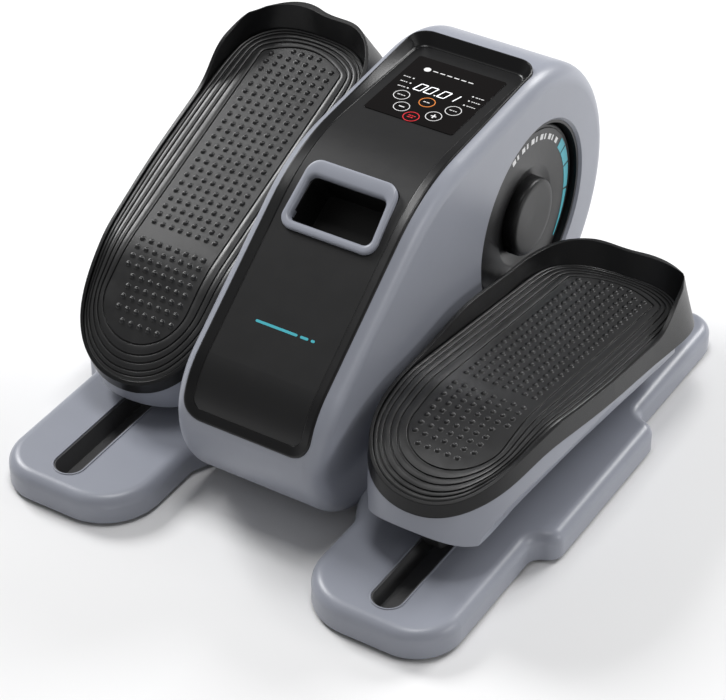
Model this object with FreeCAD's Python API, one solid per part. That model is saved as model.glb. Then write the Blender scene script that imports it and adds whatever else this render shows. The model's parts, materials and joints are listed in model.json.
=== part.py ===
"""Motorised under-desk elliptical pedal exerciser.

Frame: +X to the user's right, +Y away from the user, +Z up, millimetres.
The origin lies on the floor under the middle of the machine.  Two pedals hang
on a crank at the far end and roll on tracks in the base at the near end.
"""
import FreeCAD, Part
import math
import os

V = FreeCAD.Vector
X_AXIS = V(1, 0, 0)
Y_AXIS = V(0, 1, 0)
Z_AXIS = V(0, 0, 1)

# ---------------------------------------------------------------- driving sizes
CRANK_Y = 133.5             # crank axis
CRANK_Z = 136.0
CRANK_R = 69.0              # crank throw
CRANK_REST = 88.0           # direction of the left pin at rest, degrees from +Y

HOOD_HALF = 70.0            # half width of the hood
HOOD_WALL = 2.6
HOOD_FILLET = 16.0
BACK_R = 134.0              # round back, centred on the crank axis
NOSE_Y = -205.5             # foremost line of the hood
NOSE_Z = 91.0
NOSE_R_LOW = 84.0
NOSE_R_UP = 70.0
SLOPE = 37.2                # front slope, degrees
TOP_SLOPE = 5.0
BROW_R = 160.0
HOOD_LOW = 9.7              # open lower edge
BASE_TOP = 28.0             # top of the base

BEZEL_HALF = 59.5
BEZEL_FRONT_Z = 97.5
BEZEL_BACK_Y = 155.5
BEZEL_PROUD = 0.4
RING_W = 9.0                # width of the fascia ring
PANEL_DROP = 2.0            # how far the panel lies below the hood surface
PANEL_T = 2.6
DISPLAY_SLOPE = 1.15
DISPLAY_Z = 259.5           # panel height at the near edge of the display
DISPLAY_Y0 = 40.2
DISPLAY_Y1 = 131.0
DISPLAY_HALF = 42.0

GRIP_TOP_HALF = 41.0        # handle ring, in the plane of the front slope
GRIP_LOW_HALF = 45.0
GRIP_LEN = 62.0
GRIP_V = 93.0               # its middle, measured up the slope
GRIP_SIDE = 6.6
GRIP_LOW = 7.5
GRIP_HIGH = 14.0
POCKET_DEEP = 44.0

RAIL_FRONT = -267.5
RAIL_IN = 79.0
RAIL_OUT = 212.0
MID_OUT = 231.0
MID_Y0 = -111.5
MID_Y1 = 66.0
REAR_OUT = 211.0
REAR_Y = 225.0
RAIL_LOW = 3.5
RAIL_FILLET = 10.0
RAIL_WALL = 2.6

PEDAL_X = 152.0             # middle plane of the pedals and their tracks
TRACK_Y0 = -249.5
TRACK_Y1 = -34.0
TRACK_HALF = 13.5
TRACK_LIP = 1.2
TRACK_WALL = 1.4

WELL_R = 86.0
WELL_IN = 48.0
DISC_R = 81.0
DISC_IN = 57.0
DISC_OUT = 62.5
CAP_R = 35.0
CAP_OUT = 71.0
SHAFT_R = 8.5
PIN_R = 7.0
PIN_END = 190.0
COLLAR_END = 74.5           # collar that keeps the pedal off the disc
RUN_FIT = 0.05              # radial running clearance

PULLEY_R = 68.0
PULLEY_HALF = 7.0
MOTOR_PULLEY_R = 13.6
MOTOR_Y = -62.0
MOTOR_Z = 66.0
MOTOR_R = 34.0
MOTOR_SHAFT_R = 4.0
BELT_T = 2.4

# Pedal sizes: s runs along the pad towards the toe, h is the height over the pad.
# s = 0 is the near row of the large stud field.
PIN_S = 204.0
PIN_H = -27.4
ROLLER_S = -78.0
ROLLER_H = -91.4
ROLLER_R = 17.0
ROLLER_HALF = 8.0
ROLLER_Z = 42.0             # roller axle height at rest
AXLE_R = 4.0
BEND_S = -14.0              # where the pad starts to droop
BEND_R1 = 110.0
BEND_A1 = 17.0
BEND_FLAT = 30.0
BEND_R2 = 190.0
BEND_A2 = 24.0
SKIN_LOW = -21.0            # heights over the pad at which the tray's outer skin is given
SKIN_HIGH = 32.0
BOWL_HIGH = 20.0            # height at which the tray's inner face is given
PAD_T = 2.5
TRAY_WALL = 2.8
SHELL_WALL = 2.5

# Smaller sizes
PANEL_BROW_R = 150.0
LENS_PROUD = 0.5
LENS_T = 1.6
BEZEL_CORNER = 18.0
RIM_CHAMFER = 2.6
GRIP_CORNER = 12.0
GRIP_INNER_CORNER = 6.0
GRIP_PROUD = 1.6
TRACK_BASE = 4.8            # underside of the track channels
PLATE_T = 3.0               # chassis plate
PLATE_TOP = 7.0
OUTRIGGERS = [(-28.0, 8.0), (120.0, 160.0)]
FOOT_R = 11.0
FEET = [(112, -228), (112, -100), (182, -10), (182, 140), (50, 190)]
BEARING_R = 20.0
BRACKET_X = (29.5, 34.5)
BUSH_R = 11.0
BUSH_IN = -57.5             # ends of the pedal's pin bush, from the pedal's middle
BUSH_OUT = 36.0
FORK_HALF = 11.2
ARM_END_R = 12.0
FORK_TOP = -58.0
REAR_ANGLE = -28.0          # power panel on the round back, degrees about the crank axis
REAR_HALF = 32.0
REAR_TALL = 15.0
ROCKER_TILT = -8.0
PIVOT_R = 1.2
JACK_R = 4.5                # mouth of the power socket
JACK_DEEP = 12.0

# Outline of the right pedal seen square to the pad: (x outwards, s).
PEDAL_OUTLINE = [
    (4, 230), (36, 226), (58, 210), (68, 186), (71, 140), (71, 70), (69, 20),
    (66, -20), (62.5, -50), (58, -76), (50, -99), (36, -117), (18, -127), (-2, -130),
    (-24, -127), (-44, -117), (-60, -98), (-69, -73), (-72, -40), (-72, 20), (-71, 80),
    (-70, 140), (-68, 186), (-57, 211), (-34, 226)]
# How far each point of the outline moves inwards: outer skin below, outer skin above, inner face.
LEVEL = [0.0] * 13
SHIFT_LOW = [-21, -20, -15, -7, -2, -0.5] + LEVEL + [0, -0.5, -2.5, -6, -15, -20]
SHIFT_HIGH = [-7.5, -7.5, 2.5, 4, 2.5, 0.5] + LEVEL + [0, 0, 0, -1, -1.5, -6.5]
SHIFT_BOWL = [-9.4, -10, -0.5, 1.6, 1.6, 0] + LEVEL + [0, 0, -1, -2, -4.5, -9]
# Depth of the seam between tray and shell below the pad: (s, depth).
SEAM = [(262, 18), (180, 18), (90, 18), (10, 18), (-40, 17.2), (-75, 16.2), (-105, 14), (-125, 12), (-136, 11)]
# Height of the wall's top over the pad at each s, for the two long sides.
WALL_S = [262, 240, 225, 210, 195, 180, 165, 150, 135, 120, 90, 60, 30, 0, -20, -40, -80, -150]
WALL_OUTER = [14, 15, 21.6, 28.5, 25.4, 22.3, 14, 4.1, -0.2, -0.8, -0.8, -0.6, 0.2, 1.0, 1.5, 1.5, 1.5, 1.5]
WALL_INNER = [22, 22, 19.5, 17.5, 16.5, 17, 18.5, 20, 21, 22, 22.5, 20.5, 13, 5.4, 2, 1.5, 1.5, 1.5]
# Underside of the pedal's lower shell: (s, h).
SHELL_UNDER = [(240, -34), (205, -45), (120, -47), (40, -52), (-30, -64), (-80, -76), (-112, -76), (-140, -58)]


# ---------------------------------------------------------------- small helpers
def rad(degrees):
    return math.radians(degrees)


def polar(centre, radius, degrees):
    """Point in the YZ plane, as a (y, z) pair."""
    return (centre[0] + radius * math.cos(rad(degrees)), centre[1] + radius * math.sin(rad(degrees)))


def yz(point, x=0.0):
    return V(x, point[0], point[1])


def box(x0, x1, y0, y1, z0, z1):
    return Part.makeBox(x1 - x0, y1 - y0, z1 - z0, V(x0, y0, z0))


def rod(x0, x1, radius, centre):
    """Cylinder along X about a (y, z) centre."""
    return Part.makeCylinder(radius, x1 - x0, yz(centre, x0), X_AXIS)


def tube(x0, x1, outer, inner, centre):
    return rod(x0, x1, outer, centre).cut(rod(x0, x1, inner, centre))


def post(radius, x, y, z0, z1):
    """Cylinder along Z."""
    return Part.makeCylinder(radius, z1 - z0, V(x, y, z0), Z_AXIS)


def arc_edge(centre, radius, a0, a1):
    middle = polar(centre, radius, (a0 + a1) / 2)
    return Part.Arc(yz(polar(centre, radius, a0)), yz(middle), yz(polar(centre, radius, a1))).toShape()


def close_wire(items):
    """Closed YZ wire through edges and (y, z) points, joined by straight lines."""
    ends = []
    for item in items:
        if isinstance(item, tuple):
            ends.append((yz(item), yz(item), None))
        else:
            ends.append((item.valueAt(item.FirstParameter), item.valueAt(item.LastParameter), item))
    edges = []
    for i, (_, end, edge) in enumerate(ends):
        if edge is not None:
            edges.append(edge)
        start = ends[(i + 1) % len(ends)][0]
        if end.distanceToPoint(start) > 1e-5:
            edges.append(Part.makeLine(end, start))
    return Part.Wire(edges)


def slab(wire, x0, x1):
    """Solid with a YZ outline between two X values."""
    face = Part.Face(wire)
    face.translate(V(x0, 0, 0))
    return face.extrude(V(x1 - x0, 0, 0))


def rounded_wire(corners):
    """XY wire at z = 0 through (x, y, radius) corners with rounded turns."""
    count = len(corners)
    arcs = []
    for i, (x, y, radius) in enumerate(corners):
        here = V(x, y, 0)
        back = (V(*corners[i - 1][:2], 0) - here).normalize()
        ahead = (V(*corners[(i + 1) % count][:2], 0) - here).normalize()
        half = back.getAngle(ahead) / 2
        if radius <= 0:
            arcs.append((here, here, None))
            continue
        reach = radius / math.tan(half)
        start = here + back * reach
        end = here + ahead * reach
        middle = here + (back + ahead).normalize() * (radius / math.sin(half) - radius)
        arcs.append((start, end, Part.Arc(start, middle, end).toShape()))
    edges = []
    for i, (_, end, edge) in enumerate(arcs):
        if edge is not None:
            edges.append(edge)
        edges.append(Part.makeLine(end, arcs[(i + 1) % count][0]))
    return Part.Wire(edges)


def prism(wire, z0, z1):
    """Solid over a wire drawn at z = 0."""
    face = Part.Face(wire)
    face.translate(V(0, 0, z0))
    return face.extrude(V(0, 0, z1 - z0))


def round_plate(x0, x1, y0, y1, z0, z1, radius):
    corners = [(x0, y0, radius), (x1, y0, radius), (x1, y1, radius), (x0, y1, radius)]
    return prism(rounded_wire(corners), z0, z1)


def fuse_all(shapes):
    return shapes[0].multiFuse(shapes[1:]).removeSplitter()


def turned(shape, degrees, centre=(0.0, 0.0)):
    """Rotated about an X-parallel axis through a (y, z) centre."""
    result = shape.copy()
    result.rotate(yz(centre), X_AXIS, degrees)
    return result


def moved(shape, x=0.0, y=0.0, z=0.0):
    result = shape.copy()
    result.translate(V(x, y, z))
    return result


def mirrored(shape):
    return shape.mirror(V(0, 0, 0), X_AXIS)


def save(name, shape):
    solids = shape.Solids
    if not solids or not shape.isValid():
        raise ValueError("bad solid: " + name)
    result = solids[0] if len(solids) == 1 else Part.makeCompound(solids)
    result.exportStep("parts/" + name + ".step")
    print("%-24s solids %2d  volume %9.0f" % (name, len(solids), result.Volume), flush=True)


def save_pair(name, right):
    save("right_" + name, right)
    save("left_" + name, mirrored(right))


# ---------------------------------------------------------------- hood outline
CRANK = (CRANK_Y, CRANK_Z)
NOSE_LOW = (NOSE_Y + NOSE_R_LOW, NOSE_Z)
NOSE_UP = (NOSE_Y + NOSE_R_UP, NOSE_Z)


def normal(slope):
    """Upward normal of a line that climbs towards +Y."""
    return (-math.sin(rad(slope)), math.cos(rad(slope)))


def dot(a, b):
    return a[0] * b[0] + a[1] * b[1]


def meet(n1, d1, n2, d2):
    """Point p with dot(n1, p) = d1 and dot(n2, p) = d2."""
    det = n1[0] * n2[1] - n1[1] * n2[0]
    return ((d1 * n2[1] - d2 * n1[1]) / det, (n1[0] * d2 - n2[0] * d1) / det)


SLOPE_N = normal(SLOPE)
SLOPE_D = dot(SLOPE_N, NOSE_UP) + NOSE_R_UP
TOP_N = normal(TOP_SLOPE)
TOP_D = dot(TOP_N, CRANK) + BACK_R
BROW = meet(SLOPE_N, SLOPE_D - BROW_R, TOP_N, TOP_D - BROW_R)
PANEL_N = normal(DISPLAY_SLOPE)
PANEL_D = dot(PANEL_N, (DISPLAY_Y0, DISPLAY_Z))
PANEL_BROW = meet(SLOPE_N, SLOPE_D - PANEL_DROP - PANEL_BROW_R, PANEL_N, PANEL_D - PANEL_BROW_R)


def hood_block(inset):
    """The hood's solid envelope, moved inwards by inset, with rounded shoulders."""
    across = math.hypot(CRANK_Y - NOSE_LOW[0], CRANK_Z - NOSE_LOW[1])
    climb = math.degrees(math.atan2(CRANK_Z - NOSE_LOW[1], CRANK_Y - NOSE_LOW[0]))
    under = climb - math.degrees(math.acos((NOSE_R_LOW - BACK_R) / across))
    wire = close_wire([
        arc_edge(NOSE_LOW, NOSE_R_LOW - inset, under + 360, 180),
        arc_edge(NOSE_UP, NOSE_R_UP - inset, 180, 90 + SLOPE),
        arc_edge(BROW, BROW_R - inset, 90 + SLOPE, 90 + TOP_SLOPE),
        arc_edge(CRANK, BACK_R - inset, 90 + TOP_SLOPE, under)])
    half = HOOD_HALF - inset
    block = slab(wire, -half, half)
    shoulders = [edge for edge in block.Edges if edge.BoundBox.XLength < 0.01]
    return block.makeFillet(HOOD_FILLET - inset, shoulders)


def bezel_zone(inset):
    """Room of the fascia's outline: rounded at the near end and at the far end."""
    half = BEZEL_HALF - inset
    radius = BEZEL_CORNER - inset
    low = BEZEL_FRONT_Z + inset
    far = BEZEL_BACK_Y - inset
    front = rounded_wire([(-half, low, radius), (half, low, radius), (half, 400, 0), (-half, 400, 0)])
    front.rotate(V(0, 0, 0), X_AXIS, 90)
    front_room = Part.Face(front).extrude(V(0, 800, 0))
    front_room.translate(V(0, -400, 0))
    top = rounded_wire([(-half, -400, 0), (half, -400, 0), (half, far, radius), (-half, far, radius)])
    return front_room.common(prism(top, 0, 400))


def under_panel(drop):
    """Everything below the fascia panel's face, lowered by drop."""
    far = 300.0
    far_z = (PANEL_D - drop - PANEL_N[0] * far) / PANEL_N[1]
    wire = close_wire([
        arc_edge(NOSE_UP, NOSE_R_UP - PANEL_DROP - drop, 180, 90 + SLOPE),
        arc_edge(PANEL_BROW, PANEL_BROW_R - drop, 90 + SLOPE, 90 + DISPLAY_SLOPE),
        (far, far_z), (far, 0.0), (NOSE_UP[0] - NOSE_R_UP + PANEL_DROP + drop, 0.0)])
    return slab(wire, -HOOD_HALF, HOOD_HALF)


# ---------------------------------------------------------------- hood and fascia
def make_hood():
    hood = hood_block(0).cut(hood_block(HOOD_WALL))
    hood = hood.cut(box(-100, 100, -300, 300, 0, HOOD_LOW)).cut(bezel_zone(0))
    for side in (-1, 1):
        reach = (min(side * 60, side * 80), max(side * 60, side * 80))
        hood = hood.cut(rod(reach[0], reach[1], WELL_R, CRANK))
        cone = Part.makeCone(WELL_R, WELL_R + RIM_CHAMFER, RIM_CHAMFER,
                             yz(CRANK, side * (HOOD_HALF - RIM_CHAMFER)), V(side, 0, 0))
        hood = hood.cut(cone)
    hood = hood.cut(rear_place(box(-REAR_HALF, REAR_HALF, 100, 160, -REAR_TALL, REAR_TALL)))
    save("hood", hood)


def grip_plate(side_in, low_in, high_in, w0, w1, radius):
    """Tapered plate in the plane of the front slope, w measured from the slope."""
    low = GRIP_V - GRIP_LEN / 2 + low_in
    high = GRIP_V + GRIP_LEN / 2 - high_in
    wide = GRIP_LOW_HALF - side_in
    narrow = GRIP_TOP_HALF - side_in
    wire = rounded_wire([(-wide, low, radius), (wide, low, radius), (narrow, high, radius), (-narrow, high, radius)])
    return turned(prism(wire, SLOPE_D + w0, SLOPE_D + w1), SLOPE)


def make_fascia():
    plate_low = -PANEL_DROP - PANEL_T
    grip_outline = grip_plate(0, 0, 0, -40, 20, GRIP_CORNER)
    proud = hood_block(-BEZEL_PROUD)
    frame = proud.common(bezel_zone(0)).cut(bezel_zone(RING_W)).cut(under_panel(PANEL_T))
    save("fascia_frame", frame)
    lens_room = round_plate(-DISPLAY_HALF, DISPLAY_HALF, DISPLAY_Y0, DISPLAY_Y1, 200, 300, 2.5)
    lens = lens_room.common(under_panel(-LENS_PROUD)).cut(under_panel(LENS_T - LENS_PROUD))
    panel = bezel_zone(RING_W).common(under_panel(0)).cut(under_panel(PANEL_T))
    panel = panel.cut(lens).cut(grip_outline)
    save("fascia_panel", panel)
    save("display_window", lens)
    board_room = box(-38, 38, DISPLAY_Y0 + 4, DISPLAY_Y1 - 4, 200, 300)
    board = board_room.common(under_panel(PANEL_T)).cut(under_panel(PANEL_T + 1.6))
    save("display_board", board)
    ring = grip_plate(0, 0, 0, plate_low, GRIP_PROUD, GRIP_CORNER)
    ring = ring.cut(grip_plate(GRIP_SIDE, GRIP_LOW, GRIP_HIGH, -40, 20, GRIP_INNER_CORNER))
    save("handle_ring", ring)
    cup = grip_plate(GRIP_SIDE - 2, GRIP_LOW - 2, GRIP_HIGH - 2, -POCKET_DEEP - 2, plate_low, GRIP_INNER_CORNER + 2)
    hollow = grip_plate(GRIP_SIDE, GRIP_LOW, GRIP_HIGH, -POCKET_DEEP, 20, GRIP_INNER_CORNER)
    save("handle_pocket", cup.cut(hollow))


# ---------------------------------------------------------------- base
RAIL_CORNERS = [
    (HOOD_HALF, REAR_Y, 0), (HOOD_HALF, -150, 0), (RAIL_IN, -168, 14), (RAIL_IN, RAIL_FRONT, 50),
    (RAIL_OUT, RAIL_FRONT, 40), (RAIL_OUT, MID_Y0 - 4, 14), (MID_OUT, MID_Y0 + 5, 13.5),
    (MID_OUT, MID_Y1 - 4, 13), (REAR_OUT, MID_Y1 + 4, 12.5), (REAR_OUT, REAR_Y, 24)]


def rail_block(inset, z0):
    """Solid envelope of the right rail cover with rounded upper edges."""
    face = Part.Face(rounded_wire(RAIL_CORNERS))
    if inset > 0:
        face = face.makeOffset2D(-inset)
    block = prism(face.OuterWire, z0, BASE_TOP - inset)
    upper = []
    for edge in block.Edges:
        limits = edge.BoundBox
        if limits.ZMin > BASE_TOP - inset - 0.01 and limits.XMax > HOOD_HALF + inset + 0.01:
            upper.append(edge)
    return block.makeFillet(RAIL_FILLET - inset, upper)


def track_slot(grow, z0, z1):
    half = TRACK_HALF + grow
    return round_plate(PEDAL_X - half, PEDAL_X + half, TRACK_Y0 - grow, TRACK_Y1 + grow, z0, z1, half - 0.01)


def make_base():
    rail = rail_block(0, RAIL_LOW).cut(rail_block(RAIL_WALL, RAIL_LOW - 5))
    for y0, y1 in OUTRIGGERS:
        rail = rail.cut(box(HOOD_HALF - 1, HOOD_HALF + 8, y0 - 1, y1 + 1, 0, PLATE_TOP + 0.5))
    lip = track_slot(TRACK_LIP, BASE_TOP - 1, BASE_TOP + 0.7)
    rail = rail.fuse(lip).cut(track_slot(0, 0, BASE_TOP + 5))
    save_pair("rail_cover", rail)
    channel = track_slot(0, TRACK_BASE, BASE_TOP - 0.4)
    channel = channel.cut(track_slot(-TRACK_WALL, TRACK_BASE + TRACK_WALL, BASE_TOP + 5))
    save_pair("track", channel)
    low = PLATE_TOP - PLATE_T
    pieces = [box(-HOOD_HALF, HOOD_HALF, -118, 205, low, PLATE_TOP)]
    for y0, y1 in OUTRIGGERS:
        pieces.append(box(-195, 195, y0, y1, low, PLATE_TOP))
    for side in (-1, 1):
        xs = sorted((side * 92, side * 132))
        pieces.append(box(xs[0], xs[1], -240, OUTRIGGERS[0][1], low, PLATE_TOP))
    save("chassis_plate", fuse_all(pieces))
    feet = []
    for x, y in FEET:
        for side in (-1, 1):
            foot = post(FOOT_R, side * x, y, 0, low)
            feet.append(foot.makeFillet(1.0, [e for e in foot.Edges if e.BoundBox.ZMax < 0.01]))
    save("feet", Part.makeCompound(feet))


# ---------------------------------------------------------------- crank and drive
def along_crank(x, radius, degrees):
    """Point at a radius and direction about the crank axis, as a vector."""
    return yz(polar(CRANK, radius, degrees), x)


def pin_centre(side):
    """(y, z) of a crank pin at rest; the pins are opposite each other."""
    return polar(CRANK, CRANK_R, CRANK_REST + (180 if side > 0 else 0))


def span(side, a, b):
    return tuple(sorted((side * a, side * b)))


def make_crank():
    save("crankshaft", rod(-DISC_IN, DISC_IN, SHAFT_R, CRANK))
    for side, name in ((1, "right_"), (-1, "left_")):
        pin_at = pin_centre(side)
        x0, x1 = span(side, WELL_IN - 0.5 + 4, DISC_IN)
        arm = fuse_all([rod(x0, x1, 17, CRANK), rod(x0, x1, ARM_END_R, pin_at), crank_bar(x0, x1, side)])
        arm = arm.cut(rod(x0, x1, SHAFT_R, CRANK)).cut(rod(x0, x1, PIN_R, pin_at))
        save(name + "crank_arm", arm)
        x0, x1 = span(side, DISC_IN, DISC_OUT)
        disc = rod(x0, x1, DISC_R, CRANK)
        face_x = side * DISC_OUT
        rim = [e for e in disc.Edges if abs(e.BoundBox.XMin - face_x) < 0.01 and abs(e.BoundBox.XMax - face_x) < 0.01]
        disc = disc.makeFillet(2.0, rim).cut(rod(x0, x1, PIN_R, pin_at))
        save(name + "crank_disc", disc)
        x0, x1 = span(side, DISC_OUT, CAP_OUT)
        cap = rod(x0, x1, CAP_R, CRANK)
        face_x = side * CAP_OUT
        rim = [e for e in cap.Edges if abs(e.BoundBox.XMin - face_x) < 0.01 and abs(e.BoundBox.XMax - face_x) < 0.01]
        save(name + "hub_cap", cap.makeFillet(3.0, rim))
        x0, x1 = span(side, WELL_IN + 3.5, PIN_END)
        pin = rod(x0, x1, PIN_R, pin_at)
        x0, x1 = span(side, DISC_OUT, COLLAR_END)
        save(name + "crank_pin", fuse_all([pin, rod(x0, x1, PIN_R + 4, pin_at)]))
        x0, x1 = span(side, PIN_END, PIN_END + 6)
        save(name + "pin_nut", hexagon(x0, x1, 10, pin_at))


def hexagon(x0, x1, radius, centre):
    corners = [polar(centre, radius, 60 * k) for k in range(6)]
    return slab(close_wire(corners), x0, x1)


def crank_bar(x0, x1, side):
    direction = CRANK_REST + (180 if side > 0 else 0)
    bar = box(x0, x1, CRANK_Y, CRANK_Y + CRANK_R, CRANK_Z - 13, CRANK_Z + 13)
    return turned(bar, direction, CRANK)


def make_wells():
    well = tube(WELL_IN, HOOD_HALF - RIM_CHAMFER, WELL_R, WELL_R - 2.4, CRANK)
    floor = tube(WELL_IN, WELL_IN + 2, WELL_R - 2.4, 14, CRANK)
    flange = tube(HOOD_HALF - HOOD_WALL - 2, HOOD_HALF - HOOD_WALL, WELL_R + 6, WELL_R, CRANK)
    save_pair("crank_well", fuse_all([well, floor, flange]))


def make_bearings():
    x0, x1 = BRACKET_X
    bearing = tube(x0 - 4, x1 + 4, BEARING_R, SHAFT_R + RUN_FIT, CRANK)
    save_pair("bearing", bearing)
    upright = box(x0, x1, CRANK_Y - 30, CRANK_Y + 30, PLATE_TOP, CRANK_Z)
    foot = box(x0, x1 + 24, CRANK_Y - 30, CRANK_Y + 30, PLATE_TOP, PLATE_TOP + 5)
    bracket = fuse_all([upright, rod(x0, x1, 30, CRANK), foot]).cut(rod(x0, x1, BEARING_R, CRANK))
    for y in (CRANK_Y - 20, CRANK_Y + 20):
        bracket = bracket.cut(post(3.0, x1 + 14, y, 0, 30))
    save_pair("bearing_bracket", bracket)


def belt_wire(grow):
    """Closed line round both pulleys, grown outwards."""
    big = PULLEY_R + grow
    small = MOTOR_PULLEY_R + grow
    dy = CRANK_Y - MOTOR_Y
    dz = CRANK_Z - MOTOR_Z
    heading = math.degrees(math.atan2(dz, dy))
    lean = math.degrees(math.asin((big - small) / math.hypot(dy, dz)))
    upper = heading + 90 + lean
    lower = heading - 90 - lean
    return close_wire([arc_edge(CRANK, big, lower, upper), arc_edge(MOTOR, small, upper, lower + 360)])


MOTOR = (MOTOR_Y, MOTOR_Z)


def grooved_pulley(radius, bore):
    """Pulley with a flange on each side of the belt."""
    core = rod(-PULLEY_HALF, PULLEY_HALF, radius, (0, 0))
    rims = [rod(-PULLEY_HALF - 1.2, -PULLEY_HALF, radius + 3.2, (0, 0)),
            rod(PULLEY_HALF, PULLEY_HALF + 1.2, radius + 3.2, (0, 0))]
    pulley = fuse_all([core] + rims)
    return pulley.cut(rod(-20, 20, bore, (0, 0)))


def make_drive():
    pulley = grooved_pulley(PULLEY_R, SHAFT_R)
    for k in range(5):
        pulley = pulley.cut(rod(-20, 20, 14, polar((0, 0), 41, 72 * k + 18)))
    save("driven_pulley", moved(pulley, y=CRANK_Y, z=CRANK_Z))
    magnet_x = PULLEY_HALF + 1.2
    magnet_at = polar(CRANK, 60, 100)
    save("speed_magnet", rod(magnet_x, magnet_x + 3, 4, magnet_at))
    sensor_at = polar(CRANK, 60, 190)
    sensor = box(magnet_x + 4.2, magnet_x + 12, sensor_at[0] - 6, sensor_at[0] + 6,
                 sensor_at[1] - 9, sensor_at[1] + 9)
    arm = box(magnet_x + 12, BRACKET_X[0], sensor_at[0] - 4, CRANK_Y - 26, sensor_at[1] - 6, sensor_at[1] + 6)
    save("speed_sensor", fuse_all([sensor, arm]))
    gap = 0.3
    belt = slab(belt_wire(gap + BELT_T), -PULLEY_HALF + 0.6, PULLEY_HALF - 0.6)
    belt = belt.cut(slab(belt_wire(gap), -PULLEY_HALF, PULLEY_HALF))
    save("drive_belt", belt)
    small = grooved_pulley(MOTOR_PULLEY_R, MOTOR_SHAFT_R)
    save("motor_pulley", moved(small, y=MOTOR_Y, z=MOTOR_Z))
    save("motor_shaft", rod(-PULLEY_HALF - 3, 40, MOTOR_SHAFT_R, MOTOR))
    plate_x = (12, 15)
    can = rod(plate_x[1], 64, MOTOR_R, MOTOR)
    can = can.makeFillet(3.0, [e for e in can.Edges if e.BoundBox.XMin > 63.9])
    boss = rod(plate_x[0] - 2, plate_x[1], 12, MOTOR)
    save("motor", fuse_all([can, boss]).cut(rod(0, 45, MOTOR_SHAFT_R + RUN_FIT, MOTOR)))
    plate = box(plate_x[0], plate_x[1], MOTOR_Y - 38, MOTOR_Y + 38, PLATE_TOP, MOTOR_Z + 36)
    foot = box(plate_x[0], plate_x[1] + 30, MOTOR_Y - 38, MOTOR_Y + 38, PLATE_TOP, PLATE_TOP + 3)
    save("motor_bracket", fuse_all([plate, foot]).cut(rod(0, 20, 12, MOTOR)))
    bolts = []
    for y in (CRANK_Y - 20, CRANK_Y + 20):
        for side in (-1, 1):
            bolts.append(bolt(side * (BRACKET_X[1] + 14), y, PLATE_TOP + 5, 3.0))
    save("bracket_bolts", Part.makeCompound(bolts))


def bolt(x, y, z, radius):
    """Hexagon head on a plate with its shank through it."""
    head = prism(rounded_wire([(x + 2 * radius * math.cos(rad(60 * k)), y + 2 * radius * math.sin(rad(60 * k)), 0)
                               for k in range(6)]), z, z + 4)
    return head.fuse(post(radius, x, y, z - 5, z))


def make_electronics():
    board = box(-46, -44.4, -150, -60, 25, 115)
    parts = [box(-44.4, -34, -140, -110, 40, 75), box(-44.4, -38, -100, -70, 80, 105)]
    for k in range(3):
        parts.append(rod(-44.4, -28, 7, (-92 + 15 * k, 48)))
    legs = [box(-49, -46, -118, -108, PLATE_TOP, 35), box(-49, -46, -75, -65, PLATE_TOP, 35)]
    save("control_board", fuse_all([board] + parts))
    save("board_stand", fuse_all(legs + [box(-49, -46, -118, -65, PLATE_TOP, PLATE_TOP + 12)]))


# ---------------------------------------------------------------- rear power panel
def rear_place(shape):
    """Moves a shape drawn with +Y as the outward radius onto the round back."""
    placed = moved(shape, y=CRANK_Y, z=CRANK_Z)
    return turned(placed, REAR_ANGLE, CRANK)


def make_rear():
    skin = BACK_R
    panel = box(-REAR_HALF, REAR_HALF, skin - 5, skin + 0.5, -REAR_TALL, REAR_TALL)
    upright = [e for e in panel.Edges if e.BoundBox.YLength > 5]
    panel = panel.makeFillet(3.0, upright)
    jack_room = Part.makeCylinder(7, 20, V(15, skin - 10, 0), Y_AXIS)
    switch_room = box(-24, -4, skin - 10, skin + 5, -9, 9)
    save("rear_panel", rear_place(panel.cut(jack_room).cut(switch_room)))
    jack = Part.makeCylinder(7, 16, V(15, skin - 14, 0), Y_AXIS)
    jack = jack.cut(Part.makeCylinder(JACK_R, JACK_DEEP, V(15, skin + 2 - JACK_DEEP, 0), Y_AXIS))
    save("power_inlet", rear_place(jack))
    house = box(-24, -4, skin - 16, skin + 1.5, -9, 9)
    house = house.cut(box(-22, -6, skin - 13, skin + 5, -7, 7))
    pivot = (skin - 4, 0.0)
    house = house.cut(rod(-23, -5, PIVOT_R + RUN_FIT, pivot))
    save("switch_housing", rear_place(house))
    wedge = close_wire([(skin - 9, -2.0), (skin + 0.4, -6.2), (skin + 2.6, -6.0), (skin + 1.0, 0.0),
                        (skin + 2.6, 6.0), (skin + 0.4, 6.2), (skin - 9, 2.0)])
    rocker = turned(slab(wedge, -21.4, -6.6), ROCKER_TILT, pivot).fuse(rod(-22.8, -5.2, PIVOT_R, pivot))
    save("power_rocker", rear_place(rocker))


# ---------------------------------------------------------------- pedals
BEND_C1 = (BEND_S, -BEND_R1)


def droop_joint():
    """Start of the second bend and its centre, on the pad's surface."""
    s0, h0 = polar(BEND_C1, BEND_R1, 90 + BEND_A1)
    s1 = s0 - BEND_FLAT * math.cos(rad(BEND_A1))
    h1 = h0 - BEND_FLAT * math.sin(rad(BEND_A1))
    centre = polar((s1, h1), -BEND_R2, 90 + BEND_A1)
    return (s1, h1), centre


def pad_height(s):
    """Height of the pad's middle surface at s."""
    (s1, h1), centre = droop_joint()
    s0, h0 = polar(BEND_C1, BEND_R1, 90 + BEND_A1)
    if s >= BEND_S:
        return 0.0
    if s >= s0:
        return BEND_C1[1] + math.sqrt(BEND_R1 ** 2 - (s - BEND_C1[0]) ** 2)
    if s >= s1:
        return h0 + (s - s0) * math.tan(rad(BEND_A1))
    return centre[1] + math.sqrt(BEND_R2 ** 2 - (s - centre[0]) ** 2)


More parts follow.
